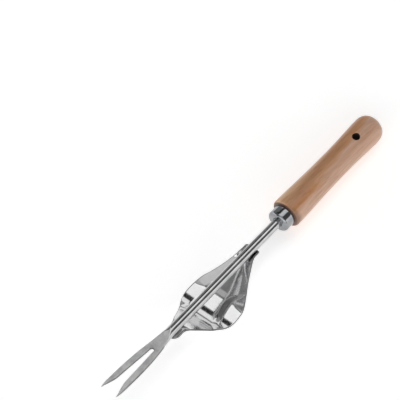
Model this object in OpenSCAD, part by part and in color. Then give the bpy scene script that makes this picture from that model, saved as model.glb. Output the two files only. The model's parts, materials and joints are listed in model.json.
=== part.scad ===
// Hand weeder: a two-pronged steel fork on a round shaft, with a pressed fulcrum plate
// under the shaft, a ferrule and a turned wooden handle.
// Every sub-part is drawn along the shaft's axis, with x counted from the fork's points.
// lay_down() then sets the tool on the ground, where it rests on its plate and its butt.

/* [Shaft] */
// Diameter of the round steel shaft
shaft_d = 8; // [7:0.5:9]
// Length of the shaft's end inside the handle
tang_l = 58; // [40:1:60]

/* [Fork] */
// Length from the points to where the shaft is round
fork_l = 74; // [70:1:80]
// Greatest width across the two prongs
fork_w = 16.6; // [15:0.5:19]
// Thickness of the forged blade
blade_t = 2.1; // [2:0.1:3]
// Distance from the points to the round end of the slot
slot_l = 54; // [48:0.5:56]
// Width of the slot at its round end
slot_w = 3.6; // [3:0.1:4]
// Width between the prongs where their points start
slot_mouth_w = 7.6; // [7:0.1:8.5]
// Length of the ground points
point_l = 14; // [10:1:18]
// Upward bend of the prongs, in degrees
fork_bend = 4; // [0:0.5:6]

/* [Fulcrum plate] */
// Thickness of the pressed sheet
sheet_t = 1.3; // [1.2:0.1:2]
// Greatest width across the two ears
plate_w = 47; // [44:0.2:50]
// Where the front slope leaves the shaft
plate_x = 87.4; // [85:0.2:89]
// Steepness of the front slope, in degrees
front_slope = 36.5; // [34:0.5:38]
// Steepness of the belly, which is nearly level
belly_slope = 8; // [4:0.5:10]
// Steepness of the rear slope, in degrees
rear_slope = 29.5; // [28:0.5:32]
// Length of the front slope, along the shaft
front_run = 26.6; // [25:0.2:29]
// Length of the belly, along the shaft
belly_run = 24.5; // [22:0.5:26]
// Length of the flat tab in front of the plate
front_tab_l = 14.8; // [10:0.2:15]
// Length of the trough-shaped tab behind the plate
rear_tab_l = 10; // [8:0.2:14]
// Height of the rim along the rear slope
rim_h = 2; // [1:0.1:3]
// Height of the pressed step that curves round each ear
step_h = 1.1; // [0.8:0.1:2]

/* [Handle and ferrule] */
// Distance from the fork's points to the grip's front face
handle_x = 216; // [212:0.5:220]
// Length of the wooden grip
handle_l = 111.5; // [105:0.5:125]
// Diameter at the front of the grip
front_d = 25.2; // [24:0.2:27]
// Diameter at the waist of the grip
waist_d = 22.4; // [21:0.2:23.6]
// Diameter at the butt of the grip
butt_d = 24.1; // [23.7:0.1:26]
// Diameter of the hole to hang the tool by
hang_hole_d = 6.2; // [5:0.2:8]
// Distance of that hole from the butt end
hang_hole_inset = 26; // [20:0.5:30]
// Turn of that hole about the grip, in degrees
hang_hole_turn = 8; // [0:1:15]
// Outer diameter of the ferrule
ferrule_d = 19.1; // [17:0.1:20]
// Exposed length of the ferrule
ferrule_l = 10; // [8:0.5:12]
// Wall of the ferrule
ferrule_t = 1; // [0.8:0.1:1.4]
// Radius of the ferrule's front corner
ferrule_round = 2; // [1.5:0.1:2.5]

/* [Hidden] */
$fn = 96;

shaft_r = shaft_d / 2;
eps = 0.01;

// Fork outline
full_width_x = 28;      // the prongs are at full width from here to the points
flare_power = 1.4;
point_curve_l = 8;      // the outer edges curve in over this length at the points
point_curve = 0.7;
point_tip_w = 0.5;
outline_steps = 28;
blade_end = slot_l + 1.5;
clearance = 0.1;        // the blend's ends lie this far inside the blade and the rod
blend_facets = 32;
blend_foot_l = 1;       // of the blend's flat end inside the blade
blend_foot_x = blade_end - 0.7;

function outer_edge(x) = shaft_r
    + (fork_w / 2 - shaft_r) * pow(sin(90 * min(1, (fork_l - x) / (fork_l - full_width_x))), flare_power)
    - point_curve * pow(max(0, 1 - x / point_curve_l), 2);

// Fulcrum plate: where its bends lie along the shaft, and how far each one spreads
belly_x = plate_x + front_run;
heel_x = belly_x + belly_run;
belly_depth = front_run * tan(front_slope);
heel_depth = belly_depth - belly_run * tan(belly_slope);
plate_end = heel_x + heel_depth / tan(rear_slope);
tab_spread = 4;
belly_spread = 8;
heel_spread = 5;
tab_start = plate_x - front_tab_l;
tab_end = plate_end + rear_tab_l;
front_tab_w = 12;
rear_tab_w = 11;
front_corner = 6;
rear_corner = 2.5;
sections = 64;
half_cells = 12;
step_w = 6.8;
step_start = belly_x - 11;
step_rise_l = 9;
step_fade_x = heel_x + 1;
step_fade_l = 7;
rim_start = heel_x - 6;
rim_rise_l = 10;
trough_start = plate_end - 6;
trough_rise_l = 8;
rim_power = 1.1;        // nearly flat, with a tight crease along its inner edge
trough_power = 2;       // round, to fit the shaft
trough_h = pow(rear_tab_w / 2, 2) / (2 * shaft_r);  // follows the shaft's underside

// Half widths of the plate, as [x, half width]
outline_pts = [[plate_x - 5, front_tab_w / 2], [plate_x + 6.6, 10.5], [belly_x - 7.6, 16.4],
    [belly_x + 2, plate_w / 2 - 1.6], [belly_x + 8, plate_w / 2], [belly_x + 15, plate_w / 2],
    [heel_x - 3.5, plate_w / 2 - 0.8], [heel_x + 2.5, 19.9], [heel_x + 13.5, 13.5],
    [plate_end - 5, 8.6], [plate_end, 6.3], [plate_end + 4, rear_tab_w / 2]];

// Half widths of the flat floor inside the rim, as [x, half width]
floor_pts = [[heel_x - 6, 15], [heel_x + 5, 11.5], [plate_end - 14.5, 7.6], [plate_end - 5, 1.3],
    [plate_end, 0]];

// Middle of the step round the ear, as [x, distance from the middle of the plate]
step_pts = [[belly_x - 14, 20], [belly_x - 8, 16.5], [belly_x, 13.4], [belly_x + 10, 10.6],
    [heel_x - 4, 9], [heel_x + 2, 10.6], [heel_x + 7, 15]];

// Smooth curve through a list of points
function slope_at(p, i) = (i == 0 || i == len(p) - 1) ? 0
    : (p[i + 1][1] - p[i - 1][1]) / (p[i + 1][0] - p[i - 1][0]);
function span_of(p, x, i = 0) = (i >= len(p) - 2 || x < p[i + 1][0]) ? i : span_of(p, x, i + 1);
function hermite(a, b, slope_a, slope_b, run, u) = a + (b - a) * u * u * (3 - 2 * u)
    + run * u * (1 - u) * (slope_a * (1 - u) - slope_b * u);
function curve(p, x) = x <= p[0][0] ? p[0][1] : x >= p[len(p) - 1][0] ? p[len(p) - 1][1]
    : let (i = span_of(p, x), run = p[i + 1][0] - p[i][0])
        hermite(p[i][1], p[i + 1][1], slope_at(p, i), slope_at(p, i + 1), run, (x - p[i][0]) / run);

// A ramp that starts at 0 and is rounded over a spread each way
function bend(u, spread) = u <= -spread ? 0 : u >= spread ? u : pow(u + spread, 2) / (4 * spread);
function smooth(u) = let (v = max(0, min(1, u))) v * v * (3 - 2 * v);

function floor_depth(x) = tan(front_slope) * bend(x - plate_x, tab_spread)
    - (tan(front_slope) + tan(belly_slope)) * bend(x - belly_x, belly_spread)
    - (tan(rear_slope) - tan(belly_slope)) * bend(x - heel_x, heel_spread)
    + tan(rear_slope) * bend(x - plate_end, tab_spread);

// Half width of a tab at a distance from its end, with its corners rounded to a radius
function tab_half(w, d, corner) = w / 2 - corner
    + (d >= corner ? corner : sqrt(pow(corner, 2) - pow(corner - max(d, corner / 20), 2)));
function half_width(x) = x < plate_x - 5 ? tab_half(front_tab_w, x - tab_start, front_corner)
    : x > plate_end + 4 ? tab_half(rear_tab_w, tab_end - x, rear_corner) : curve(outline_pts, x);

// Rise of the rim, which becomes a trough round the shaft's underside at the rear tab
function trough_share(x) = smooth((x - trough_start) / trough_rise_l);
function rim_curve(x) = rim_power + (trough_power - rim_power) * trough_share(x);
function rim_height(x) = rim_h * smooth((x - rim_start) / rim_rise_l)
    + (trough_h - rim_h) * trough_share(x);
function rim(x, y) = let (f = curve(floor_pts, x), w = max(curve(outline_pts, x), f + eps))
    y <= f ? 0 : rim_height(x) * pow((y - f) / (w - f), rim_curve(x));
function ear_step(x, y) = step_h * smooth((y - curve(step_pts, x)) / step_w + 0.5)
    * smooth((x - step_start) / step_rise_l) * (1 - smooth((x - step_fade_x) / step_fade_l));
function plate_top(x, y) = [x, y, -shaft_r - floor_depth(x) + rim(x, abs(y)) + ear_step(x, abs(y))];

// Point on the underside: the sheet's thickness away, square to the top face
function plate_under(x, y) = let (
        along = plate_top(x + eps, y) - plate_top(x - eps, y),
        across = plate_top(x, y + eps) - plate_top(x, y - eps),
        normal = cross(along, across))
    plate_top(x, y) - sheet_t * normal / norm(normal);

// Weld fillets
weld_leg = 2;
weld_l = 9;
weld_inset = 2;         // from the end of the front tab
weld_foot = [1.6, 4.2]; // from the middle, on the tab
weld_top = 3.3;         // from the middle, at the height of the shaft's axis

// Grip: control points for its outline, as [distance from its front face, radius]
grip_pts = [[0, front_d / 2], [9, front_d / 2 - 0.1], [34, waist_d / 2 + 0.5], [60, waist_d / 2],
    [80, waist_d / 2 + 0.3], [handle_l - 13, butt_d / 2]];
front_round = 1.8;
dome_l = 12;
dome_power = 2.6;
spigot_r = ferrule_d / 2 - ferrule_t;
glue_gap = 0.3;
ferrule_x = handle_x - ferrule_l;
mouth_r = shaft_r + clearance;

function dome_r(u) = pow(1 - pow(u, dome_power), 1 / dome_power);

// How the tool lies: it is turned about Y until the belly and the butt touch the ground
belly_low = shaft_r + floor_depth(belly_x + 5) + sheet_t;
belly_rest_x = belly_x + 8;
butt_x = handle_x + handle_l - dome_l;
butt_rest_x = butt_x + 2;
lay_angle = atan((belly_low - butt_d / 2) / (butt_rest_x - belly_rest_x));
lay_height = belly_rest_x * sin(lay_angle) + belly_low * cos(lay_angle);
tool_l = (handle_x + handle_l) * cos(lay_angle);

module lay_down() {
    translate([-tool_l / 2, 0, lay_height]) rotate([0, lay_angle, 0]) children();
}

// A solid of revolution round the shaft's axis, from points [x, radius]
module turned(points) {
    rotate([0, 90, 0]) rotate_extrude() polygon([for (p = points) [p[1], p[0]]]);
}

module rod(x0, x1, r) {
    translate([x0, 0, 0]) rotate([0, 90, 0]) cylinder(h = x1 - x0, r = r);
}

module handle() {
    arc_steps = 8;
    grip_steps = 24;
    dome_steps = 14;
    side_l = handle_l - dome_l - front_round;
    color("burlywood") lay_down() difference() {
        turned(concat(
            [[ferrule_x + ferrule_t, 0], [ferrule_x + ferrule_t, spigot_r], [handle_x, spigot_r]],
            [for (i = [0 : arc_steps]) let (a = 90 * i / arc_steps)
                [handle_x + front_round * (1 - cos(a)), front_d / 2 - front_round * (1 - sin(a))]],
            [for (i = [1 : grip_steps]) let (d = front_round + side_l * i / grip_steps)
                [handle_x + d, curve(grip_pts, d)]],
            [for (i = [1 : dome_steps]) let (u = sin(90 * i / dome_steps))
                [butt_x + dome_l * u, i == dome_steps ? 0 : butt_d / 2 * dome_r(u)]]));
        rod(ferrule_x - 1, handle_x + tang_l + 1, shaft_r + glue_gap);
        translate([handle_x + handle_l - hang_hole_inset, 0, 0]) rotate([hang_hole_turn, 0, 0])
            cylinder(h = 2 * butt_d, r = hang_hole_d / 2, center = true);
    }
}

module ferrule() {
    arc_steps = 8;
    outer_r = ferrule_d / 2;
    color("silver") lay_down() turned(concat(
        [[ferrule_x, mouth_r]],
        [for (i = [0 : arc_steps]) let (a = 90 * i / arc_steps)
            [ferrule_x + ferrule_round * (1 - cos(a)), outer_r - ferrule_round * (1 - sin(a))]],
        [[handle_x, outer_r], [handle_x, outer_r - ferrule_t],
            [ferrule_x + ferrule_t, outer_r - ferrule_t], [ferrule_x + ferrule_t, mouth_r]]));
}

module blade_outline() {
    left = [for (i = [0 : outline_steps]) let (x = blade_end * i / outline_steps) [x, outer_edge(x)]];
    right = [for (i = [len(left) - 1 : -1 : 0]) [left[i][0], -left[i][1]]];
    slot_end = slot_l - slot_w / 2;
    difference() {
        polygon(concat(left, right));
        translate([slot_end, 0]) circle(d = slot_w);
        polygon([[slot_end, slot_w / 2], [slot_end, -slot_w / 2], [point_l, -slot_mouth_w / 2],
            [-eps, point_tip_w - outer_edge(0)], [-eps, outer_edge(0) - point_tip_w],
            [point_l, slot_mouth_w / 2]]);
    }
}

module fork_shaft() {
    color("lightgray") lay_down() {
        translate([slot_l, 0, 0]) rotate([0, fork_bend, 0]) translate([-slot_l, 0, 0])
            linear_extrude(height = blade_t, center = true) blade_outline();
        hull() {
            rod(fork_l, fork_l + 1, shaft_r - clearance / 2, $fn = blend_facets);
            translate([blend_foot_x, 0, 0]) cube(
                [blend_foot_l, 2 * (outer_edge(blade_end) - clearance), blade_t - 2 * clearance],
                center = true);
        }
        rod(fork_l, handle_x + tang_l, shaft_r);
    }
}

module fulcrum_plate() {
    across = 2 * half_cells;
    row = across + 1;
    xs = [for (i = [0 : sections]) tab_start + (tab_end - tab_start) * i / sections];
    ys = [for (j = [-half_cells : half_cells]) j / half_cells];
    top = [for (x = xs) for (v = ys) plate_top(x, v * half_width(x))];
    under = [for (x = xs) for (v = ys) plate_under(x, v * half_width(x))];
    n = len(top);
    faces = concat(
        [for (i = [0 : sections - 1]) for (j = [0 : across - 1]) let (k = i * row + j)
            each [[k, k + 1, k + row], [k + 1, k + row + 1, k + row]]],
        [for (i = [0 : sections - 1]) for (j = [0 : across - 1]) let (k = n + i * row + j)
            each [[k, k + row, k + 1], [k + 1, k + row, k + row + 1]]],
        [for (i = [0 : sections - 1]) for (side = [0, across]) let (k = i * row + side)
            each side == 0 ? [[k, k + row, k + n], [k + row, k + row + n, k + n]]
                : [[k, k + n, k + row], [k + row, k + n, k + row + n]]],
        [for (j = [0 : across - 1]) for (end = [0, sections]) let (k = end * row + j)
            each end == 0 ? [[k, k + n, k + 1], [k + 1, k + n, k + 1 + n]]
                : [[k, k + 1, k + n], [k + 1, k + 1 + n, k + n]]]);
    color("gainsboro") lay_down() polyhedron(concat(top, under), faces);
}

// Two fillets along the shaft, in the corners between its underside and the flat front tab
module front_welds() {
    color("dimgray") lay_down() for (side = [-1, 1])
        translate([tab_start + weld_inset, 0, -shaft_r]) rotate([90, 0, 90])
            linear_extrude(height = weld_l) difference() {
                polygon([[side * weld_foot[0], 0], [side * weld_foot[1], 0], [side * weld_top, shaft_r]]);
                translate([0, shaft_r]) circle(r = shaft_r);
            }
}

// A fillet round the underside of the shaft, against the end of the rear tab
module rear_weld() {
    sweep = 80;
    color("dimgray") lay_down() translate([tab_end, 0, 0]) rotate([0, 90, 0])
        rotate([0, 0, -sweep / 2]) rotate_extrude(angle = sweep)
            polygon([[shaft_r, 0], [shaft_r + sheet_t, 0], [shaft_r, weld_leg]]);
}

module tang_glue() {
    color("khaki") lay_down() difference() {
        rod(ferrule_x + ferrule_t, handle_x + tang_l, shaft_r + glue_gap);
        rod(ferrule_x, handle_x + tang_l + 1, shaft_r);
    }
}

handle();
ferrule();
fork_shaft();
fulcrum_plate();
front_welds();
rear_weld();
tang_glue();
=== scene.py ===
"""Hand weeder: the finished surfaces, materials, floor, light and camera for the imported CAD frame.

Shapes are worked out in tool millimetres: x along the shaft from the fork's points, z up and y
across, with the tool level. LAY then sets them down as the CAD frame lies.
"""

import json
import math

import bmesh
import bpy
import numpy as np
from mathutils import Matrix, Vector


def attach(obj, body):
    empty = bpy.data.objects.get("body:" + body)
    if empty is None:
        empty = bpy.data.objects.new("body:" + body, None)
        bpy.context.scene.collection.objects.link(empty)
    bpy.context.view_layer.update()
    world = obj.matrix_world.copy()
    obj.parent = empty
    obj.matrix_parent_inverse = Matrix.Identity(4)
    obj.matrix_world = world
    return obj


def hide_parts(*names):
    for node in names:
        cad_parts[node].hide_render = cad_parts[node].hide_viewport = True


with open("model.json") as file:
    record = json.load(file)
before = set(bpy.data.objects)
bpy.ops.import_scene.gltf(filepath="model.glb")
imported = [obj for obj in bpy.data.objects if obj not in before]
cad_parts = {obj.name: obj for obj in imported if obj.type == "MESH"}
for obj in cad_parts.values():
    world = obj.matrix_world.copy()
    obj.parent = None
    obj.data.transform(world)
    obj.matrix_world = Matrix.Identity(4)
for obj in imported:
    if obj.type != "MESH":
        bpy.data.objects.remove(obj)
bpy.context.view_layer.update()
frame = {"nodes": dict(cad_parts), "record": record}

MM = 0.001
HOLE_X = 301.5  # where the hole to hang the tool by crosses the shaft's axis
hang_hole = frame["record"]["mounts"][0]
TILT = math.atan2(hang_hole["axis"][0], hang_hole["axis"][2])
LAY = (
    Matrix.Translation(hang_hole["pos_m"])
    @ Matrix.Rotation(TILT, 4, "Y")
    @ Matrix.Translation((-HOLE_X * MM, 0, 0))
    @ Matrix.Scale(MM, 4)
)

# Shaft and fork
SHAFT_R = 4.0
TANG_END = 274.0
SLOT_CENTRE = 52.2  # of the slot's round end
SLOT_R = 1.8
EDGE_ROUND = 0.2  # along the slot
FLAT_ROUND = 0.28  # where the flats meet the sides
FORK_BEND = math.radians(4.0)
BEND_X, BEND_SPREAD = 54.0, 6.0
SWELL, SWELL_X, SWELL_FADE = 0.2, 58.0, 20.0  # how much taller the bar is at the fork, and where that ends
CUT_END, FLAT_END = 60.0, 76.0  # the cut sides and the ground flats end here
NECK_END = 80.0
FORK_EDGE = [
    (0, 7.6), (2.5, 8.1), (6, 8.35), (16, 8.4), (28, 8.3), (41, 7.65), (48, 7.05), (55, 6.25), (62, 5.3),
    (69, 4.5), (75, 4.05), (80, 4.0),
]
SLOT_EDGE = [(0, 7.2), (5, 6.05), (10, 4.75), (14, 3.9), (20, 3.5), (35, 2.7), (SLOT_CENTRE, SLOT_R)]
FLAT_HEIGHT = [(0, 0.45), (10, 1.0), (20, 1.05), (56, 1.05), (62, 1.65), (67, 2.45), (72, 3.4), (77, 4.6)]

# Fulcrum plate
SHEET = 1.3
PLATE_X = 87.4
FRONT_RUN, BELLY_RUN = 26.6, 24.5
BELLY_X = PLATE_X + FRONT_RUN
HEEL_X = BELLY_X + BELLY_RUN
FRONT_SLOPE = math.tan(math.radians(36.5))
BELLY_SLOPE = math.tan(math.radians(8.0))
REAR_SLOPE = math.tan(math.radians(29.5))
FRONT_DEPTH = FRONT_RUN * FRONT_SLOPE
PLATE_END = HEEL_X + (FRONT_DEPTH - BELLY_RUN * BELLY_SLOPE) / REAR_SLOPE
TAB_BEND, BELLY_BEND, HEEL_BEND = 4.0, 9.0, 5.0  # how far each bend reaches along x, each way
TAB_START = PLATE_X - 14.8
TAB_END = PLATE_END + 10.0
FLARE_START, FLARE_END = PLATE_X - 5, PLATE_END + 4  # between the two tabs
FRONT_TAB_HALF = 6.0
REAR_TAB_HALF = 5.5
REAR_CORNER = 2.5
EAR = 23.5
OUTLINE = [
    (FLARE_START, FRONT_TAB_HALF), (PLATE_X + 6.6, 10.5), (BELLY_X - 7.6, 16.4), (BELLY_X + 2, EAR - 1.6),
    (BELLY_X + 8, EAR), (BELLY_X + 15, EAR), (HEEL_X - 3.5, EAR - 0.8), (HEEL_X + 2.5, 19.9),
    (HEEL_X + 13.5, 13.5), (PLATE_END - 5, 8.6), (PLATE_END, 6.3), (FLARE_END, REAR_TAB_HALF),
]
FLOOR_EDGE = [
    (HEEL_X - 6, 15), (HEEL_X + 5, 11.5), (PLATE_END - 14.5, 7.6), (PLATE_END - 5, 1.3), (PLATE_END, 0),
]
STEP_LINE = [
    (BELLY_X - 14, 20), (BELLY_X - 8, 16.5), (BELLY_X, 13.4), (BELLY_X + 10, 10.6), (HEEL_X - 4, 9),
    (HEEL_X + 2, 10.6), (HEEL_X + 7, 15),
]
STEP_WIDTH, STEP_HEIGHT = 6.8, 1.1
STEP_START, STEP_RISE = BELLY_X - 11, 9.0
STEP_END, STEP_FADE = HEEL_X + 1, 7.0
RIM_HEIGHT = 2.0
RIM_START, RIM_RISE = HEEL_X - 6, 10.0
RIM_POWER = 1.04  # nearly flat, with a tight crease along its inner edge
TROUGH_HEIGHT = REAR_TAB_HALF ** 2 / (2 * SHAFT_R)
TROUGH_START, TROUGH_RISE = PLATE_END - 6, 8.0
TROUGH_POWER = 2.0  # a round hollow that the shaft lies in
PLATE_ROWS, PLATE_COLUMNS = 280, 121
EDGE_BULGE = 0.4

# Ferrule and grip
GRIP_X = 216.0
GRIP_END = 327.5
FERRULE_X = 206.0
FERRULE_R = 9.55
FERRULE_WALL = 1.0
FERRULE_ROUND = 2.0
SPIGOT_CORNER = 211.0
GRIP_FRONT_ROUND = 1.8
DOME_X = 315.5
DOME_POWER = 2.6
BORE_R = 4.3
BORE_END = 275.0
HOLE_R = 3.1
HOLE_ROUND = 0.7
HOLE_TURN = math.radians(8.0)
GRIP_EDGE = [
    (GRIP_X, 12.6), (222.7, 12.6), (229.5, 12.42), (240, 12.06), (250, 11.67), (260.4, 11.35), (270.6, 11.21),
    (281, 11.2), (291, 11.3), (HOLE_X, 11.68), (309, 11.95), (DOME_X, 12.05),
]

# Welds
FRONT_WELD_X, FRONT_WELD_L = TAB_START + 2, 9.6
FRONT_WELD_Y, FRONT_WELD_Z, FRONT_WELD_R = 3.4, -3.9, 1.05
REAR_WELD_X, REAR_WELD_REACH, REAR_WELD_R = TAB_END + 0.3, 4.35, 1.2
REAR_WELD_TURN = 44.0  # degrees each way round the underside of the shaft

# Camera: the view's direction with the shaft level, then what it is aimed at, in tool millimetres
VIEW_DOWN, VIEW_ASIDE, VIEW_ROLL = math.radians(55.0), math.radians(39.0), math.radians(45.483)
AIM_ALONG, AIM_ASIDE = 155.0, -54.7
CAMERA_DISTANCE, FRAME_WIDTH = 12.0, 0.3063  # metres


def ramp(u, spread):
    """0 before the bend, u after it, rounded over a spread each way."""
    return np.where(u <= -spread, 0.0, np.where(u >= spread, u, (u + spread) ** 2 / (4 * spread)))


def smooth(u):
    """0 below 0 and 1 above 1, eased between them."""
    v = np.clip(u, 0.0, 1.0)
    return v * v * (3 - 2 * v)


def curve(points, x):
    """Smooth curve through (x, value) points, level at both ends."""
    px, py = np.array(points, float).T
    slope = np.zeros(len(px))
    slope[1:-1] = (py[2:] - py[:-2]) / (px[2:] - px[:-2])
    x = np.asarray(x, float)
    i = np.clip(np.searchsorted(px, x, side="right") - 1, 0, len(px) - 2)
    run = px[i + 1] - px[i]
    u = np.clip((x - px[i]) / run, 0.0, 1.0)
    eased = py[i] + (py[i + 1] - py[i]) * u * u * (3 - 2 * u)
    return eased + run * u * (1 - u) * (slope[i] * (1 - u) - slope[i + 1] * u)


def stations(*stretches):
    """Places along x, from stretches of (start, end, number of steps) that follow on each other."""
    places = [stretches[0][0]]
    for start, end, steps in stretches:
        places += list(np.linspace(start, end, steps + 1)[1:])
    return places


class Shape:
    """Collects grids of points, in tool millimetres, into one mesh."""

    def __init__(self):
        self.points, self.faces, self.looks = [], [], []

    def add_points(self, points):
        start = sum(len(p) for p in self.points)
        self.points.append(np.asarray(points, float).reshape(-1, 3))
        return start

    def add_faces(self, faces, look=0):
        self.faces.extend(faces)
        self.looks.extend([look] * len(faces))

    def add_grid(self, grid, look=0, wrap=False):
        """Quads between the neighbours in a grid of rows x columns. look may be a function of (i, j)."""
        grid = np.asarray(grid, float)
        rows, columns = grid.shape[:2]
        start = self.add_points(grid)
        for i in range(rows - 1):
            for j in range(columns if wrap else columns - 1):
                a, b = start + i * columns + j, start + i * columns + (j + 1) % columns
                chosen = look(i, j) if callable(look) else look
                self.add_faces([(a, b, b + columns, a + columns)], chosen)
        return start

    def add_cap(self, loop, look=0):
        start = self.add_points(loop)
        self.add_faces([tuple(range(start, start + len(loop)))], look)

    def add_mirrored(self):
        """Adds the same again on the other side of the y = 0 plane."""
        points = np.concatenate(self.points)
        start = self.add_points(points * (1, -1, 1))
        faces, looks = list(self.faces), list(self.looks)
        for face, look in zip(faces, looks):
            self.add_faces([tuple(start + k for k in reversed(face))], look)

    def build(self, name, materials, replaced=(), sharp=None):
        points = np.concatenate(self.points)
        mesh = bpy.data.meshes.new(name)
        mesh.from_pydata([LAY @ Vector(p) for p in points], [], self.faces)
        mesh.polygons.foreach_set("material_index", self.looks)
        for material in materials:
            mesh.materials.append(material)
        weld_seams(mesh)
        mesh.polygons.foreach_set("use_smooth", [True] * len(mesh.polygons))
        if sharp:
            mesh.set_sharp_from_angle(angle=math.radians(sharp))
        store_tool_position(mesh)
        piece = bpy.data.objects.new(name, mesh)
        bpy.context.scene.collection.objects.link(piece)
        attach(piece, "root")
        for node in replaced:
            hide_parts(node)
        return piece


def weld_seams(mesh):
    """Merges points that coincide and points all faces outward."""
    work = bmesh.new()
    work.from_mesh(mesh)
    bmesh.ops.remove_doubles(work, verts=work.verts, dist=2e-6)
    bmesh.ops.dissolve_degenerate(work, edges=work.edges, dist=1e-6)
    bmesh.ops.recalc_face_normals(work, faces=work.faces)
    work.to_mesh(mesh)
    work.free()


def store_tool_position(mesh):
    """Keeps each point's place in tool millimetres, for the materials' patterns."""
    back = LAY.inverted()
    store = mesh.attributes.new("tool", "FLOAT_VECTOR", "POINT")
    values = [c for v in mesh.vertices for c in back @ v.co]
    store.data.foreach_set("vector", values)


# ---------------------------------------------------------------- fork and shaft

FLAT_CELLS, ROUND_CELLS, SIDE_CELLS = 8, 6, 14
SLOT_END_STEPS = 12


def fork_lift(x):
    """How far the prongs are bent up at x."""
    return math.tan(FORK_BEND) * float(ramp(np.float64(BEND_X - x), BEND_SPREAD))


def fork_section(x, inner):
    """Half of the bar's section at x, from its inner edge over the top, round the side and back below."""
    half = float(curve(FORK_EDGE, x))
    tall = SHAFT_R + SWELL * (1 - float(smooth((x - SWELL_X) / SWELL_FADE)))
    flat = float(curve(FLAT_HEIGHT, x))
    highest, lowest = 0.992 * tall, 0.95 * tall
    high = min(flat + FLAT_ROUND, highest)
    low = min(max(flat - FLAT_ROUND, 0.1), lowest)

    def across(height):
        return half * math.sqrt(max(0.0, 1 - (height / tall) ** 2))

    def clipped(height):
        """The round bar's height, pressed flat, with the edge of the flat rounded."""
        near = max(FLAT_ROUND - abs(height - flat), 0.0) / FLAT_ROUND
        return min(height, flat) - near * near * FLAT_ROUND / 4

    heights = [high + (low - high) * k / ROUND_CELLS for k in range(1, ROUND_CELLS + 1)]
    low_angle = math.asin(low / tall)
    side = [tall * math.sin(low_angle * (1 - 2 * k / SIDE_CELLS)) for k in range(1, SIDE_CELLS)]
    top_y = [inner + (across(high) - inner) * k / FLAT_CELLS for k in range(FLAT_CELLS + 1)]
    top = [(y, clipped(tall * math.sqrt(max(0.0, 1 - (y / half) ** 2)))) for y in top_y]
    top += [(across(h), clipped(h)) for h in heights]
    below = [(y, -z) for y, z in reversed(top)]
    middle = [(across(h), h) for h in side]
    lift = fork_lift(x)
    return [(x, y, z + lift) for y, z in top + middle + below]


def slot_wall(x, y, normal):
    """The prong's inner wall at one place along the slot's edge, with its edges rounded."""
    flat, lift = float(curve(FLAT_HEIGHT, x)), fork_lift(x)
    upper = []
    for out, drop in ((1, 0), (0.3, 0.3), (0, 1)):
        reach = EDGE_ROUND * out
        upper.append((x + normal[0] * reach, y + normal[1] * reach, flat - drop * EDGE_ROUND))
    lower = [(px, py, -z) for px, py, z in reversed(upper)]
    return [(px, py, z + lift) for px, py, z in upper + lower]


def build_fork(polished, satin, edge):
    shape = Shape()
    straight = stations((0, 14, 14), (14, 48, 17), (48, 51, 2))
    edges = [(x, float(curve(SLOT_EDGE, x)), (0.0, 1.0)) for x in straight]
    for k in range(SLOT_END_STEPS + 1):
        a = math.pi / 2 * k / SLOT_END_STEPS
        edges.append((SLOT_CENTRE + SLOT_R * math.sin(a), SLOT_R * math.cos(a), (math.sin(a), math.cos(a))))
    walls = [slot_wall(x, y, n) for x, y, n in edges]
    slot_end = walls[-1][0][0]
    beyond = stations((slot_end, NECK_END, 39), (NECK_END, TANG_END, 49))[1:]
    inner_edge = [wall[0][:2] for wall in walls] + [(x, 0.0) for x in beyond]
    sections = [fork_section(x, y) for x, y in inner_edge]
    for wall, section in zip(walls, sections):
        wall[0], wall[-1] = section[0], section[-1]
    last_flat_row = sum(x < FLAT_END for x, _ in inner_edge)
    last_cut_row = sum(x < CUT_END for x, _ in inner_edge)
    columns = len(sections[0])

    def look(i, j):
        on_flat = j < FLAT_CELLS or j >= columns - 1 - FLAT_CELLS
        if on_flat:
            return 1 if i < last_flat_row else 0
        return 2 if i < last_cut_row else 0

    shape.add_grid(sections, look)
    shape.add_grid(walls, 2)
    shape.add_cap(sections[0] + walls[0][-2:0:-1], 2)
    shape.add_cap(sections[-1])
    shape.add_mirrored()
    return shape.build("fork", [polished, satin, edge], ["fork_shaft"], sharp=55)


# ---------------------------------------------------------------- fulcrum plate


def floor_depth(x):
    """How far the plate's floor lies below the shaft: down, back up a little, and up to the rear tab."""
    return (
        FRONT_SLOPE * ramp(x - PLATE_X, TAB_BEND)
        - (FRONT_SLOPE + BELLY_SLOPE) * ramp(x - BELLY_X, BELLY_BEND)
        - (REAR_SLOPE - BELLY_SLOPE) * ramp(x - HEEL_X, HEEL_BEND)
        + REAR_SLOPE * ramp(x - PLATE_END, TAB_BEND)
    )


def tab_half(half, distance, corner):
    """Half the width of a tab at a distance from its end, with the end's corners rounded."""
    d = np.maximum(distance, corner / 20)
    quarter = np.sqrt(np.maximum(0, corner ** 2 - np.maximum(corner - d, 0) ** 2))
    return half - corner + quarter


def half_width(x):
    """Half the plate's width at x."""
    front = tab_half(FRONT_TAB_HALF, x - TAB_START, FRONT_TAB_HALF)
    rear = tab_half(REAR_TAB_HALF, TAB_END - x, REAR_CORNER)
    middle = curve(OUTLINE, x)
    return np.where(x < FLARE_START, front, np.where(x > FLARE_END, rear, middle))


def rim(x, y):
    """Raised edge along the rear slope, which becomes a trough round the shaft at the rear tab."""
    inner = curve(FLOOR_EDGE, x)
    outer = np.maximum(curve(OUTLINE, x), inner + 0.01)
    trough = smooth((x - TROUGH_START) / TROUGH_RISE)
    height = RIM_HEIGHT * smooth((x - RIM_START) / RIM_RISE) + (TROUGH_HEIGHT - RIM_HEIGHT) * trough
    share = np.clip((y - inner) / (outer - inner), 0, 2)
    return height * share ** (RIM_POWER + (TROUGH_POWER - RIM_POWER) * trough)


def ear_step(x, y):
    """Pressed step that curves round each ear and lifts it."""
    step = smooth((y - curve(STEP_LINE, x)) / STEP_WIDTH + 0.5)
    ends = smooth((x - STEP_START) / STEP_RISE) * (1 - smooth((x - STEP_END) / STEP_FADE))
    return STEP_HEIGHT * step * ends


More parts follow.
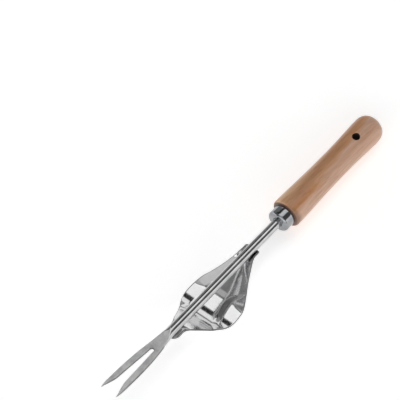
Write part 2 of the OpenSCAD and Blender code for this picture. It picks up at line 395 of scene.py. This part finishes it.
def plate_top(x, y):
    """The plate's upper surface."""
    z = -SHAFT_R - floor_depth(x) + rim(x, np.abs(y)) + ear_step(x, np.abs(y))
    return np.stack([x, y, z], -1)


def plate_normal(x, y):
    near = 0.02
    along = plate_top(x + near, y) - plate_top(x - near, y)
    across = plate_top(x, y + near) - plate_top(x, y - near)
    normal = np.cross(along, across)
    return normal / np.linalg.norm(normal, axis=-1, keepdims=True)


def build_plate(material, sheared_and_shaded):
    shape = Shape()
    rows, columns = PLATE_ROWS, PLATE_COLUMNS
    x = TAB_START + (TAB_END - TAB_START) * (np.arange(rows) / (rows - 1))
    share = np.linspace(-1, 1, columns)
    xs = np.repeat(x[:, None], columns, 1)
    ys = share[None, :] * half_width(x)[:, None]
    top, normal = plate_top(xs, ys), plate_normal(xs, ys)
    under = top - SHEET * normal
    shape.add_grid(top)
    shape.add_grid(under[:, ::-1])
    right, left = [(i, 0) for i in range(rows)], [(i, columns - 1) for i in range(rows)]
    front, back = [(0, j) for j in range(columns)], [(rows - 1, j) for j in range(columns)]
    loop = right[:-1] + back[:-1] + left[:0:-1] + front[:0:-1]
    i, j = np.array(loop).T
    upper, lower, up = top[i, j], under[i, j], normal[i, j]
    along = np.roll(upper, -1, 0) - np.roll(upper, 1, 0)
    out = np.cross(along, up)
    out /= np.linalg.norm(out, axis=1, keepdims=True)
    middle, half = (upper + lower) / 2, (upper - lower) / 2
    turns = np.linspace(0, math.pi, 7)
    edge = [middle + half * math.cos(a) + out * EDGE_BULGE * math.sin(a) for a in turns]
    shape.add_grid(np.array(edge), 1, wrap=True)
    return shape.build("plate", [material, sheared_and_shaded], ["fulcrum_plate"], sharp=60)


# ---------------------------------------------------------------- ferrule, grip, welds


def revolve(profile, segments):
    """Grid of points for (x, radius) turned round the shaft's axis."""
    angle = np.arange(segments) * 2 * np.pi / segments
    x, r = np.array(profile, float).T
    ones = np.ones(segments)
    return np.stack([x[:, None] * ones, r[:, None] * np.sin(angle), r[:, None] * np.cos(angle)], -1)


def arc(x, r, radius, start, end, steps):
    """Points [x, radius] of a fillet round (x, r), angles from the front face's direction in degrees."""
    angles = np.radians(np.linspace(start, end, steps))
    return [(x - radius * math.cos(a), r + radius * math.sin(a)) for a in angles]


def build_ferrule(material):
    mouth_r, lip = SHAFT_R + 0.1, 0.35
    skirt_round = 0.3
    profile = [(FERRULE_X + FERRULE_WALL, mouth_r)]
    profile += arc(FERRULE_X + lip, mouth_r + lip, lip, -90, 0, 5)
    profile += [(FERRULE_X, 5.2), (FERRULE_X, 6.4)]
    profile += arc(FERRULE_X + FERRULE_ROUND, FERRULE_R - FERRULE_ROUND, FERRULE_ROUND, 0, 90, 11)
    profile += [(x, FERRULE_R) for x in (209.5, 211.5, 213.5)]
    profile += arc(GRIP_X - skirt_round, FERRULE_R - skirt_round, skirt_round, 90, 180, 4)
    profile += [(GRIP_X, FERRULE_R - FERRULE_WALL), (SPIGOT_CORNER, FERRULE_R - FERRULE_WALL)]
    profile += [(FERRULE_X + FERRULE_WALL, FERRULE_R - FERRULE_WALL)]
    profile += [(FERRULE_X + FERRULE_WALL, mouth_r)]
    shape = Shape()
    shape.add_grid(revolve(profile, 128), wrap=True)
    return shape.build("ferrule", [material], ["ferrule"], sharp=50)


def grip_radius(x):
    """The grip's radius at x, with its front edge rounded and its butt domed."""
    rounded = np.clip((GRIP_X + GRIP_FRONT_ROUND - x) / GRIP_FRONT_ROUND, 0, 1)
    front = GRIP_FRONT_ROUND * (1 - np.sqrt(1 - rounded ** 2))
    u = np.clip((x - DOME_X) / (GRIP_END - DOME_X), 0, 1)
    dome = (1 - u ** DOME_POWER) ** (1 / DOME_POWER)
    return (curve(GRIP_EDGE, x) - front) * dome


HOLE_REACH = 6.0  # the grip's mesh is polar round the hole out to here, along x
HOLE_COLUMNS = 8  # and for this many columns each way
GRIP_SEGMENTS = 96
HOLE_RIM_ROW = 9  # from this ring of the patch inward the wall is the drilled bore


def hole_fan(side):
    """Rings of points from the border of the hole's patch in to the middle of its bore, on one side."""
    step = 2 * math.pi / GRIP_SEGMENTS
    wide, long = HOLE_COLUMNS, int(HOLE_REACH)
    border = [(-long, j) for j in range(-wide, wide)] + [(i, wide) for i in range(-long, long)]
    border += [(long, -j) for j in range(-wide, wide)] + [(-i, -wide) for i in range(-long, long)]
    x = np.array([HOLE_X + b[0] for b in border])
    y = grip_radius(x) * np.sin(np.array([b[1] * step for b in border]))
    angle = np.arctan2(y, x - HOLE_X)
    rings = []

    def ring(px, py, drop):
        height = np.sqrt(grip_radius(px) ** 2 - py ** 2) - drop
        rings.append(np.stack([px, py, side * height], -1))

    outer = HOLE_R + HOLE_ROUND
    for share in (0.0, 0.3, 0.55, 0.75, 0.9, 1.0):
        ring(
            x + (HOLE_X + outer * np.cos(angle) - x) * share,
            y + (outer * np.sin(angle) - y) * share,
            0.0,
        )
    for turn in np.radians(np.linspace(0, 90, 7))[1:]:
        reach = outer - HOLE_ROUND * math.sin(turn)
        ring(HOLE_X + reach * np.cos(angle), reach * np.sin(angle), HOLE_ROUND * (1 - math.cos(turn)))
    rim_ring = rings[-1]
    for share in (0.75, 0.5, 0.25, 0.0):
        rings.append(rim_ring * (1, 1, share))
    return np.array(rings)


def turned_about_x(points, angle):
    c, s = math.cos(angle), math.sin(angle)
    return points @ np.array([(1, 0, 0), (0, c, s), (0, -s, c)])


def build_grip(material, bore):
    spigot_r = FERRULE_R - FERRULE_WALL
    inside = [(BORE_END, 0.001), (BORE_END, BORE_R), (240, BORE_R), (FERRULE_X + 1, BORE_R)]
    inside += [(FERRULE_X + 1, spigot_r), (SPIGOT_CORNER, spigot_r), (GRIP_X, spigot_r)]
    front = [GRIP_X + GRIP_FRONT_ROUND * (1 - math.cos(math.radians(a))) for a in range(0, 90, 10)]
    outside = front + list(np.linspace(GRIP_X + GRIP_FRONT_ROUND, HOLE_X - HOLE_REACH, 52))
    first = len(inside) + len(outside) - 1
    outside += list(np.arange(HOLE_X - HOLE_REACH + 1, HOLE_X + HOLE_REACH + 0.5))
    outside += list(np.linspace(HOLE_X + HOLE_REACH, DOME_X, 7)[1:])
    outside += [DOME_X + 12 * math.sin(math.radians(a)) for a in range(5, 90, 5)]
    profile = inside + [(x, float(grip_radius(x))) for x in outside] + [(GRIP_END, 0.001)]
    grid = turned_about_x(revolve(profile, GRIP_SEGMENTS), HOLE_TURN)
    rows = range(first, first + 2 * int(HOLE_REACH))
    wide = HOLE_COLUMNS
    half_turn = GRIP_SEGMENTS // 2
    cut = {(i, (c + j) % GRIP_SEGMENTS) for i in rows for c in (0, half_turn) for j in range(-wide, wide)}
    shape = Shape()
    start = shape.add_points(grid)
    for i in range(len(profile) - 1):
        for j in range(GRIP_SEGMENTS):
            if (i, j) not in cut:
                row = start + i * GRIP_SEGMENTS
                a, b = row + j, row + (j + 1) % GRIP_SEGMENTS
                shape.add_faces([(a, b, b + GRIP_SEGMENTS, a + GRIP_SEGMENTS)])
    for side in (1, -1):
        fan = turned_about_x(hole_fan(side), HOLE_TURN)
        # from HOLE_RIM_ROW inward the bore's wall takes the near-black painted shade
        shape.add_grid(fan, lambda i, j: 1 if i >= HOLE_RIM_ROW else 0, wrap=True)
    return shape.build("grip", [material, bore], ["handle"], sharp=50)


def weld_bead(path, radius, ripples, seed):
    """A laid bead of weld metal along a path, crossed by the ripples it set in."""
    rng = np.random.default_rng(seed)
    path = np.array(path, float)
    steps, around = 90, 20
    ripple_height, swell_height = 0.1, 0.03
    s = np.linspace(0, 1, steps)
    places = np.stack([np.interp(s, np.linspace(0, 1, len(path)), path[:, k]) for k in range(3)], -1)
    tangent = np.gradient(places, axis=0)
    tangent /= np.linalg.norm(tangent, axis=1, keepdims=True)
    side = np.cross(tangent, (0.0, 0.3, 1.0))
    side /= np.linalg.norm(side, axis=1, keepdims=True)
    up = np.cross(side, tangent)
    swell = rng.normal(0, swell_height, ripples + 2)
    ripple = ripple_height * np.abs(np.sin(np.pi * ripples * s))
    ripple += np.interp(s * ripples, np.arange(ripples + 2), swell)
    ends = (1 - np.abs(2 * s - 1) ** 8) ** 0.5
    r = np.maximum(radius * ends * (0.95 + ripple), 0.02)
    angle = np.arange(around) * 2 * np.pi / around
    grid = places[:, None] + r[:, None, None] * (
        side[:, None] * np.cos(angle)[None, :, None] + up[:, None] * np.sin(angle)[None, :, None]
    )
    return grid


def add_weld(shape, grid):
    shape.add_grid(grid, wrap=True)
    shape.add_cap(grid[0][::-1])
    shape.add_cap(grid[-1])


def build_front_welds(material):
    welds = Shape()
    for seed, side in enumerate((-1, 1)):
        along = [FRONT_WELD_X + FRONT_WELD_L * k / 9 for k in range(10)]
        path = [(x, side * FRONT_WELD_Y, FRONT_WELD_Z) for x in along]
        add_weld(welds, weld_bead(path, FRONT_WELD_R, ripples=9, seed=seed))
    return welds.build("front_weld_beads", [material], ["front_welds"])


def build_rear_weld(material):
    weld = Shape()
    angles = np.radians(np.linspace(-REAR_WELD_TURN, REAR_WELD_TURN, 12))
    path = [(REAR_WELD_X, REAR_WELD_REACH * math.sin(a), -REAR_WELD_REACH * math.cos(a)) for a in angles]
    add_weld(weld, weld_bead(path, REAR_WELD_R, ripples=7, seed=7))
    return weld.build("rear_weld_bead", [material], ["rear_weld"])


# ---------------------------------------------------------------- materials


WHITE = (1.0, 1.0, 1.0)


class Recipe:
    """Builds one node material."""

    def __init__(self, name):
        self.material = bpy.data.materials.new(name)
        self.material.use_nodes = True
        self.tree = self.material.node_tree
        self.shader = self.tree.nodes["Principled BSDF"]

    def node(self, kind, inputs=None, **settings):
        made = self.tree.nodes.new("ShaderNode" + kind)
        for key, value in settings.items():
            setattr(made, key, value)
        for key, value in (inputs or {}).items():
            self.feed(made.inputs[key], value)
        return made

    def feed(self, socket, value):
        if isinstance(value, bpy.types.NodeSocket):
            self.tree.links.new(value, socket)
        else:
            socket.default_value = value

    def place(self, scale, turn=(0, 0, 0)):
        """The point in tool millimetres, turned and then scaled."""
        where = self.node("Attribute", attribute_name="tool")
        turned = self.node("VectorRotate", {"Vector": where.outputs["Vector"], "Rotation": turn},
                           rotation_type="EULER_XYZ")
        scaled = self.node("Mapping", {"Vector": turned.outputs[0], "Scale": scale})
        return scaled.outputs[0]

    def distance_along(self, direction):
        """The point's distance along a direction, in tool millimetres times the direction's length."""
        where = self.place((1, 1, 1))
        made = self.node("VectorMath", {0: where, 1: direction}, operation="DOT_PRODUCT")
        return made.outputs["Value"]

    def noise(self, place, scale=1.0, detail=3.0, roughness=0.5, distortion=0.0):
        made = self.node("TexNoise", {"Vector": place, "Scale": scale, "Detail": detail,
                                      "Roughness": roughness, "Distortion": distortion})
        return made.outputs[0]

    def spread(self, value, low, high, start=0.35, end=0.65):
        """Maps a noise value to a range of numbers."""
        made = self.node("MapRange", {"Value": value, "From Min": start, "From Max": end,
                                      "To Min": low, "To Max": high})
        return made.outputs[0]

    def colours(self, value, stops):
        """Colour ramp from (position, (r, g, b)) stops."""
        made = self.node("ValToRGB", {"Fac": value})
        ramp_stops = made.color_ramp.elements
        while len(ramp_stops) < len(stops):
            ramp_stops.new(0.5)
        for stop, (position, colour) in zip(ramp_stops, stops):
            stop.position = position
            stop.color = (*colour, 1.0)
        return made.outputs[0]

    def mixed(self, share, a, b, blend="MIX"):
        made = self.node("Mix", data_type="RGBA", blend_type=blend)
        self.feed(made.inputs[0], share)
        self.feed(made.inputs[6], a if isinstance(a, bpy.types.NodeSocket) else (*a, 1.0))
        self.feed(made.inputs[7], b if isinstance(b, bpy.types.NodeSocket) else (*b, 1.0))
        return made.outputs[2]

    def bumps(self, height, distance_mm, strength=1.0):
        made = self.node("Bump", {"Height": height, "Distance": distance_mm * MM, "Strength": strength})
        self.feed(self.shader.inputs["Normal"], made.outputs[0])

    def finish(self, **inputs):
        for key, value in inputs.items():
            self.feed(self.shader.inputs[key.replace("_", " ")], value)
        return self.material


def metal(name, dark, light, rough, lines, line_scale, bump_mm, turn=(0, 0, 0)):
    """Worked steel: fine lines left by the finishing, and slow patches of shade and gloss."""
    steel = Recipe(name)
    fine = steel.noise(steel.place(line_scale, turn), 1.0, 4.0, 0.6)
    patch = steel.noise(steel.place((0.12, 0.12, 0.12)), 1.0, 3.0, 0.55)
    shade = steel.colours(steel.spread(patch, 0.0, 1.0), [(0.0, dark), (1.0, light)])
    line_stops = [(0.0, (1 - lines,) * 3), (1.0, WHITE)]
    line_shade = steel.colours(steel.spread(fine, 0.0, 1.0, 0.3, 0.7), line_stops)
    colour = steel.mixed(1.0, shade, line_shade, "MULTIPLY")
    gloss = steel.spread(patch, rough[0], rough[1])
    steel.bumps(fine, bump_mm, 0.5)
    return steel.finish(Base_Color=colour, Metallic=1.0, Roughness=gloss)


def polished_steel():
    return metal("polished_steel", (0.48, 0.48, 0.485), (0.58, 0.58, 0.585), (0.08, 0.14), 0.10,
                 (0.25, 6.0, 6.0), 0.004)


def satin_steel():
    return metal("satin_steel", (0.66, 0.66, 0.66), (0.86, 0.86, 0.86), (0.34, 0.46), 0.34,
                 (3.2, 0.35, 1.0), 0.012, (0, 0, math.radians(35)))


def plate_steel():
    return metal("rolled_sheet", (0.72, 0.72, 0.725), (0.78, 0.78, 0.785), (0.10, 0.14), 0.08,
                 (0.3, 2.5, 2.5), 0.002)


# Dull sheared steel for the cut sides and plate edges, also darkened to paint dark outlines along them.
def dull_edge_and_shade():
    return metal("punched_edge_and_shade", (0.20, 0.20, 0.20), (0.30, 0.30, 0.30), (0.45, 0.6), 0.25,
                 (1.5, 1.5, 4.0), 0.02)


def chrome():
    return metal("ferrule_chrome", (0.30, 0.31, 0.325), (0.42, 0.43, 0.445), (0.08, 0.16), 0.16,
                 (4.0, 0.8, 0.8), 0.004)


def weld_steel():
    """Bare weld metal with patches of heat tint."""
    steel = Recipe("weld_metal")
    tint = steel.noise(steel.place((0.5, 0.5, 0.5)), 1.0, 4.0, 0.6)
    grain = steel.noise(steel.place((3, 3, 3)), 1.0, 4.0, 0.6)
    brown, blue, bare = (0.24, 0.225, 0.21), (0.22, 0.23, 0.25), (0.36, 0.355, 0.35)
    tints = [(0.0, (0.16, 0.16, 0.17)), (0.45, brown), (0.7, blue), (1.0, bare)]
    colour = steel.colours(steel.spread(tint, 0.0, 1.0), tints)
    steel.bumps(grain, 0.05, 0.6)
    return steel.finish(Base_Color=colour, Metallic=1.0, Roughness=steel.spread(grain, 0.28, 0.5))


def epoxy():
    """Cloudy amber glue."""
    glue = Recipe("tang_epoxy")
    where = glue.node("TexCoord").outputs["Object"]
    cloud = glue.noise(where, 260.0, 4.0, 0.55)
    ambers = [(0.0, (0.50, 0.38, 0.16)), (1.0, (0.72, 0.60, 0.34))]
    colour = glue.colours(glue.spread(cloud, 0.0, 1.0), ambers)
    glue.bumps(cloud, 0.1, 0.4)
    return glue.finish(Base_Color=colour, Roughness=glue.spread(cloud, 0.3, 0.5))


def beech_zones_and_painted_light(wood):
    """Pale pink wood with a browner zone on one side, its edge a slanting plane roughened by noise, and a
    lighter tan towards +y and up that is partly the wood's own tone and partly painted light.
    """
    wander = wood.noise(wood.place((0.03, 0.14, 0.14), (0, 0, math.radians(4))), 1.0, 3.0, 0.55)
    slant = wood.distance_along((-0.12, 0.915, 0.403))
    depth = wood.node("Math", {0: wander, 1: 16.0, 2: slant}, operation="MULTIPLY_ADD").outputs[0]
    colour = wood.mixed(wood.spread(depth, 0.0, 1.0, -25.7, -22.2), (0.62, 0.38, 0.262), (0.61, 0.305, 0.138))
    colour = wood.mixed(wood.spread(depth, 0.0, 1.0, -22.7, -19.2), colour, (0.52, 0.255, 0.120))
    # lighter tan towards +y and up: partly the wood's paler tone, partly painted light on the upper side
    return wood.mixed(wood.spread(depth, 0.0, 1.0, -15.2, -8.2), colour, (0.74, 0.46, 0.27))


def beech_figure(wood, colour, fibre):
    """Darkens a wood colour with its streaks, fibre lines and pores."""
    grain_turn = (0, math.radians(2), math.radians(3))
    grain = wood.noise(wood.place((0.035, 0.55, 0.55), grain_turn), 1.0, 5.0, 0.6, 0.3)
    flecks = wood.noise(wood.place((0.5, 4.5, 4.5)), 1.0, 2.0, 0.5)
    streak_stops = [(0.0, (0.87, 0.79, 0.71)), (0.5, (0.97, 0.96, 0.95)), (1.0, (1.06, 1.05, 1.04))]
    streaks = wood.colours(wood.spread(grain, 0.0, 1.0), streak_stops)
    colour = wood.mixed(1.0, colour, streaks, "MULTIPLY")
    lines = wood.colours(wood.spread(fibre, 0.0, 1.0), [(0.0, (0.92, 0.89, 0.87)), (1.0, WHITE)])
    colour = wood.mixed(0.8, colour, lines, "MULTIPLY")
    pore_stops = [(0.0, WHITE), (1.0, (0.75, 0.66, 0.58))]
    pores = wood.colours(wood.spread(flecks, 0.0, 1.0, 0.60, 0.72), pore_stops)
    return wood.mixed(0.6, colour, pores, "MULTIPLY")


def beech():
    """Lacquered beech, with painted shade on the front face next to the ferrule, over the end grain's own
    darker tone, and painted shade along one side of the front edge.
    """
    wood = Recipe("lacquered_beech")
    fibre = wood.noise(wood.place((0.12, 3.0, 3.0)), 1.0, 3.0, 0.6)
    colour = beech_figure(wood, beech_zones_and_painted_light(wood), fibre)
    # Painted shade: the grip's front face beside the ferrule goes nearly black, darker than its end grain's
    # own tone.
    end_grain_and_shade = wood.spread(wood.distance_along((1, 0, 0)), 1.0, 0.0, GRIP_X + 0.05, GRIP_X + 0.5)
    colour = wood.mixed(end_grain_and_shade, colour, (0.11, 0.055, 0.035))
    # Painted shade along the front edge on its -y side, next to the ferrule.
    front_edge_shade = wood.spread(wood.distance_along((1, 0.45, 0)), 0.75, 0.0, GRIP_X - 4, GRIP_X + 0.5)
    colour = wood.mixed(front_edge_shade, colour, (0.16, 0.070, 0.038))
    wood.bumps(fibre, 0.03, 0.4)
    return wood.finish(Base_Color=colour, Roughness=wood.spread(fibre, 0.36, 0.5), Coat_Weight=0.35,
                       Coat_Roughness=0.22)


def bore_painted_shade():
    """Near-black wood for the hole's wall: painted shade for the deep, narrow bore."""
    bore = Recipe("bore_painted_shade")
    rings = bore.noise(bore.place((0.8, 0.8, 2.5)), 1.0, 3.0, 0.6)
    # almost black: painted shade inside the hole, where little light gets in
    browns = [(0.0, (0.018, 0.009, 0.006)), (1.0, (0.045, 0.022, 0.014))]
    colour = bore.colours(bore.spread(rings, 0.0, 1.0), browns)
    bore.bumps(rings, 0.1, 0.5)
    return bore.finish(Base_Color=colour, Roughness=bore.spread(rings, 0.7, 0.9))


def floor_paper():
    """White paper that glows a little."""
    paper = Recipe("floor_paper")
    where = paper.node("TexCoord").outputs["Object"]
    fibres = paper.noise(where, 900.0, 3.0, 0.6)
    colour = paper.colours(paper.spread(fibres, 0.0, 1.0), [(0.0, (0.94,) * 3), (1.0, (0.96,) * 3)])
    return paper.finish(Base_Color=colour, Roughness=0.8, Emission_Color=colour, Emission_Strength=0.45)


# ---------------------------------------------------------------- stage


def build_floor():
    """A wide round sheet of pale paper under the tool, lit from behind like a light table."""
    reach, segments = 4.0, 64
    mesh = bpy.data.meshes.new("floor")
    work = bmesh.new()
    bmesh.ops.create_circle(work, cap_ends=True, segments=segments, radius=reach)
    work.to_mesh(mesh)
    work.free()
    mesh.materials.append(floor_paper())
    floor = bpy.data.objects.new("floor", mesh)
    floor.location.z = -0.2 * MM  # just clear of the belly and the butt
    bpy.context.scene.collection.objects.link(floor)


SOFTBOXES = [
    # azimuth and elevation it stands at, middle and half size across and up (as tangents), brightness
    ("ceiling", 90, 90, (0.455, 0.235), (0.645, 0.515), 0.68),
    ("black_flag", 40, 52, (0, 0), (0.26, 0.20), 0.02),
    ("overhead", -118.1, 90, (0.49, 0.22), (0.51, 0.30), 1.32),
    ("heel_card", 90, 90, (0.12, -0.38), (0.16, 0.08), 0.5),
    ("handle_side", 25, 32, (0, 0), (0.36, 0.19), 1.0),
    ("handle_low", 22, 5, (0, 0), (0.36, 0.18), 0.85),
    ("right_side", -60, 8, (0, 0), (0.26, 0.22), 1.35),
    ("left_side", 80, 15, (0, 0), (0.60, 0.45), 0.3),
    ("left_low", 122, 7, (0, 0), (0.55, 0.20), 1.8),
    ("key", -143, 24, (0, 0), (1.05, 0.34), 1.5),
]
ROOM_NEAR, ROOM_FAR, BELOW_FLOOR = 0.20, 0.12, 0.9  # near is the fork's side of the room
ROOM_SPLIT, ROOM_BLEND = 0.2, 0.2  # all far beyond this x, blended over this much before it
SOFT_EDGE = 0.02


class StudioLight:
    """World shader of a dim room with softboxes, each a bright rectangle seen in one direction."""

    def __init__(self):
        world = bpy.data.worlds.new("studio")
        bpy.context.scene.world = world
        world.use_nodes = True
        self.tree = world.node_tree
        self.background = self.tree.nodes["Background"]
        self.direction = self.tree.nodes.new("ShaderNodeTexCoord").outputs["Generated"]

    def math(self, operation, *values, clamp=False):
        made = self.tree.nodes.new("ShaderNodeMath")
        made.operation = operation
        made.use_clamp = clamp
        for socket, value in zip(made.inputs, values):
            if isinstance(value, bpy.types.NodeSocket):
                self.tree.links.new(value, socket)
            else:
                socket.default_value = value
        return made.outputs[0]

    def along(self, axis):
        made = self.tree.nodes.new("ShaderNodeVectorMath")
        made.operation = "DOT_PRODUCT"
        self.tree.links.new(self.direction, made.inputs[0])
        made.inputs[1].default_value = axis
        return made.outputs["Value"]

    def inside(self, offset, depth, centre, half):
        """1 within half of centre, as a tangent, with a slightly soft edge."""
        tangent = self.math("DIVIDE", offset, depth)
        distance = self.math("ABSOLUTE", self.math("SUBTRACT", tangent, centre))
        within = self.math("SUBTRACT", half + SOFT_EDGE / 2, distance)
        return self.math("DIVIDE", within, SOFT_EDGE, clamp=True)

    def softbox(self, azimuth, elevation, centre, half):
        """1 where the direction meets the softbox, 0 elsewhere."""
        a, e = math.radians(azimuth), math.radians(elevation)
        facing = Vector((math.cos(a) * math.cos(e), math.sin(a) * math.cos(e), math.sin(e)))
        across = Vector((-math.sin(a), math.cos(a), 0))
        upward = facing.cross(across)
        depth = self.along(facing)
        in_front = 0.02
        mask = self.math("GREATER_THAN", depth, in_front)
        for axis, middle, reach in zip((across, upward), centre, half):
            mask = self.math("MULTIPLY", mask, self.inside(self.along(axis), depth, middle, reach))
        return mask

    def finish(self):
        """The dim room, then each softbox over what is behind it, then the light from below."""
        nearness = self.math("SUBTRACT", ROOM_SPLIT, self.along((1, 0, 0)))
        room = self.math("DIVIDE", nearness, ROOM_BLEND, clamp=True)
        light = self.math("MULTIPLY_ADD", room, ROOM_NEAR - ROOM_FAR, ROOM_FAR)
        for _, azimuth, elevation, centre, half, brightness in SOFTBOXES:
            mask = self.softbox(azimuth, elevation, centre, half)
            gain = self.math("MULTIPLY", mask, self.math("SUBTRACT", brightness, light))
            light = self.math("ADD", light, gain)
        above = self.math("GREATER_THAN", self.along((0, 0, 1)), 0.0)
        light = self.math("MULTIPLY", light, above)
        below = self.math("MULTIPLY", self.math("SUBTRACT", 1.0, above), BELOW_FLOOR)
        self.tree.links.new(self.math("ADD", light, below), self.background.inputs["Color"])
        self.background.inputs["Strength"].default_value = 1.0


def build_camera():
    """Looks down at the tool from beyond its points, as a product shot does from far away."""
    level = math.cos(VIEW_DOWN)
    towards = Vector((-level * math.cos(VIEW_ASIDE), -level * math.sin(VIEW_ASIDE), math.sin(VIEW_DOWN)))
    along = (Vector((1, 0, 0)) - towards * towards.x).normalized()
    aside = along.cross(towards)
    right = along * math.cos(VIEW_ROLL) + aside * math.sin(VIEW_ROLL)
    up = along * math.sin(VIEW_ROLL) - aside * math.cos(VIEW_ROLL)
    centre = along * AIM_ALONG + aside * AIM_ASIDE
    lay_turn = LAY.to_3x3().normalized()
    pose = Matrix((lay_turn @ right, lay_turn @ up, lay_turn @ towards)).transposed().to_4x4()
    pose.translation = LAY @ centre + (lay_turn @ towards) * CAMERA_DISTANCE
    camera = bpy.data.cameras.new("camera")
    camera.sensor_width = 36.0
    camera.lens = camera.sensor_width * CAMERA_DISTANCE / FRAME_WIDTH
    camera.clip_end = 100.0
    seen = bpy.data.objects.new("camera", camera)
    seen.matrix_world = pose
    bpy.context.scene.collection.objects.link(seen)
    bpy.context.scene.camera = seen


def paint_glue():
    """Gives the glue round the tang, which stays as the CAD made it, its material."""
    glue = frame["nodes"]["tang_glue"]
    glue.data.materials.clear()
    glue.data.materials.append(epoxy())


sheared_and_shaded = dull_edge_and_shade()
build_fork(polished_steel(), satin_steel(), sheared_and_shaded)
build_plate(plate_steel(), sheared_and_shaded)
build_ferrule(chrome())
build_grip(beech(), bore_painted_shade())
weld_metal = weld_steel()
build_front_welds(weld_metal)
build_rear_weld(weld_metal)
paint_glue()
build_floor()
StudioLight().finish()
build_camera()
bpy.context.scene.view_settings.view_transform = "Standard"
